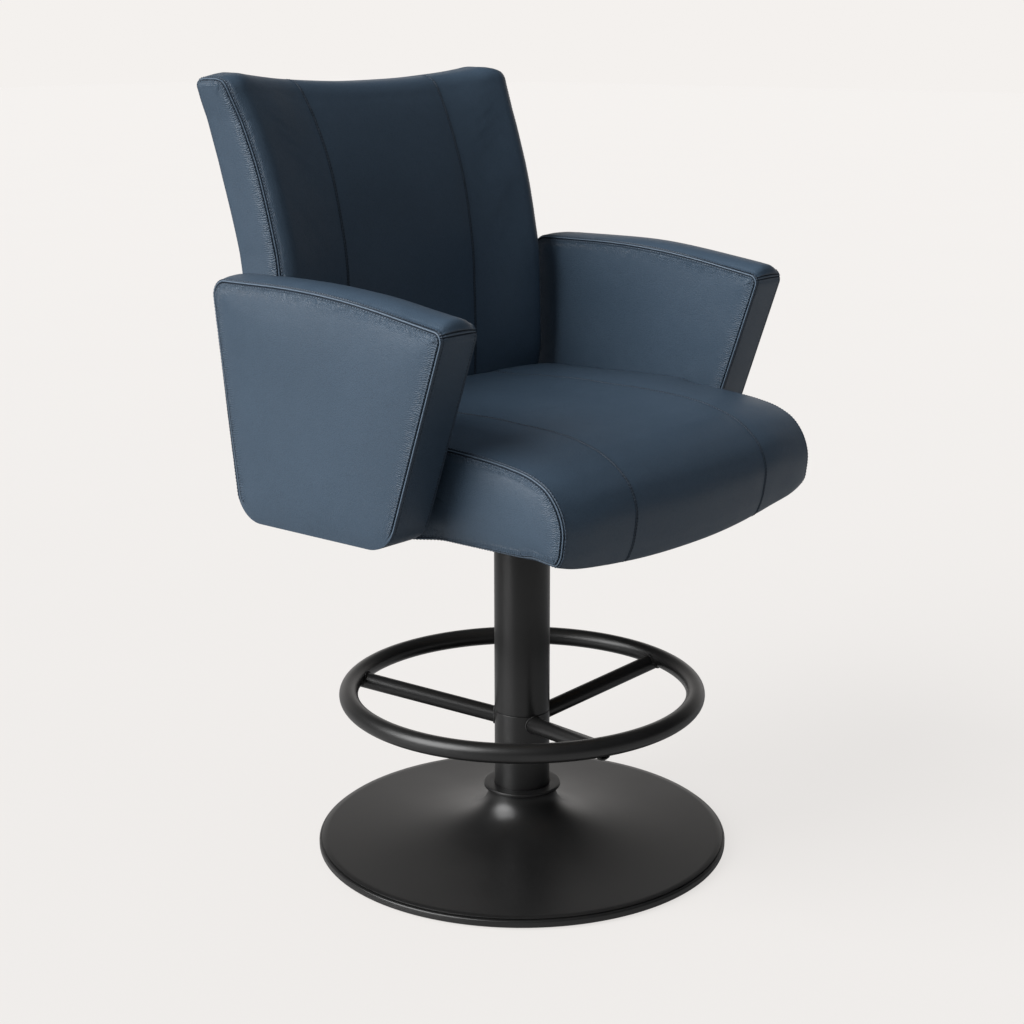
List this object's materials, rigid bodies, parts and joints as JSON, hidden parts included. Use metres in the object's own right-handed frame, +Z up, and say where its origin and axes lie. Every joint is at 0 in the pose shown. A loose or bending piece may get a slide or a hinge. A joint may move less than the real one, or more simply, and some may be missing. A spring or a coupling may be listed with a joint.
{
  "type": "swivel bar stool with arms",
  "caption": "Upholstered swivel stool at bar height: padded seat, curved back and wedge arms on a column with a round foot ring and a spun trumpet base.",
  "frame": {"origin": "on the swivel axis, at the floor, in the middle of the base", "axes": "+Z up along the column, -Y the way the sitter faces, +X the sitter's left"},
  "size_m": [0.704, 0.6066, 1.0315],
  "materials": {
    "seat_leather": "smooth fine-grained slate navy upholstery leather, satin",
    "black_metal": "satin black powder coat on steel",
    "bare_steel": "turned and zinc plated steel",
    "plywood": "unfinished plywood",
    "rubber": "matt black rubber sheet",
    "bush_plastic": "natural nylon"
  },
  "bodies": {
    "base": {"floor_pad": "rubber", "base_plate": "black_metal", "base_cover": "black_metal", "base_collar": "black_metal", "core_tube": "bare_steel", "footring_sleeve": "black_metal", "column_tube": "black_metal", "anchor_washer": "bare_steel", "anchor_nut": "bare_steel", "anchor_bolt": "bare_steel", "footring_hoop": "black_metal", "footring_spoke_1": "black_metal", "footring_spoke_2": "black_metal", "footring_spoke_3": "black_metal", "column_cap": "black_metal", "bearing_tube": "bare_steel", "upper_bush": "bush_plastic", "lower_bush": "bush_plastic", "lower_race": "bare_steel"},
    "bearing": {"bearing_cage": "bare_steel"},
    "seat": {"upper_race": "bare_steel", "spindle": "bare_steel", "spindle_washer": "bare_steel", "retaining_ring": "bare_steel", "seat_plate": "black_metal", "seat_board": "plywood", "plate_bolt_1": "bare_steel", "plate_bolt_2": "bare_steel", "plate_bolt_3": "bare_steel", "plate_bolt_4": "bare_steel", "seat_cushion": "seat_leather", "back_cushion": "seat_leather", "back_board": "plywood", "back_bracket_right": "black_metal", "back_bracket_left": "black_metal", "back_foot_screw_1": "bare_steel", "back_foot_screw_2": "bare_steel", "back_foot_screw_3": "bare_steel", "back_foot_screw_4": "bare_steel", "back_screw_1": "bare_steel", "back_screw_2": "bare_steel", "back_screw_3": "bare_steel", "back_screw_4": "bare_steel", "arm_pad_right": "seat_leather", "arm_pad_left": "seat_leather", "arm_board_right": "plywood", "arm_board_left": "plywood", "arm_bracket_right": "black_metal", "arm_bracket_left": "black_metal", "arm_screw_1": "bare_steel", "arm_screw_2": "bare_steel", "arm_screw_3": "bare_steel", "arm_screw_4": "bare_steel", "arm_screw_5": "bare_steel", "arm_screw_6": "bare_steel", "arm_screw_7": "bare_steel", "arm_screw_8": "bare_steel"}
  },
  "joints": [
    {"name": "seat_swivel", "type": "hinge", "parent": "base", "child": "seat", "pos_m": [0, 0, 0.47], "axis": [0, 0, 1], "continuous": true},
    {"name": "bearing_turn", "type": "hinge", "parent": "base", "child": "bearing", "pos_m": [0, 0, 0.47], "axis": [0, 0, 1], "continuous": true}
  ],
  "couplings": [
    {"joint": "bearing_turn", "follows": "seat_swivel", "ratio": 0.5}
  ]
}
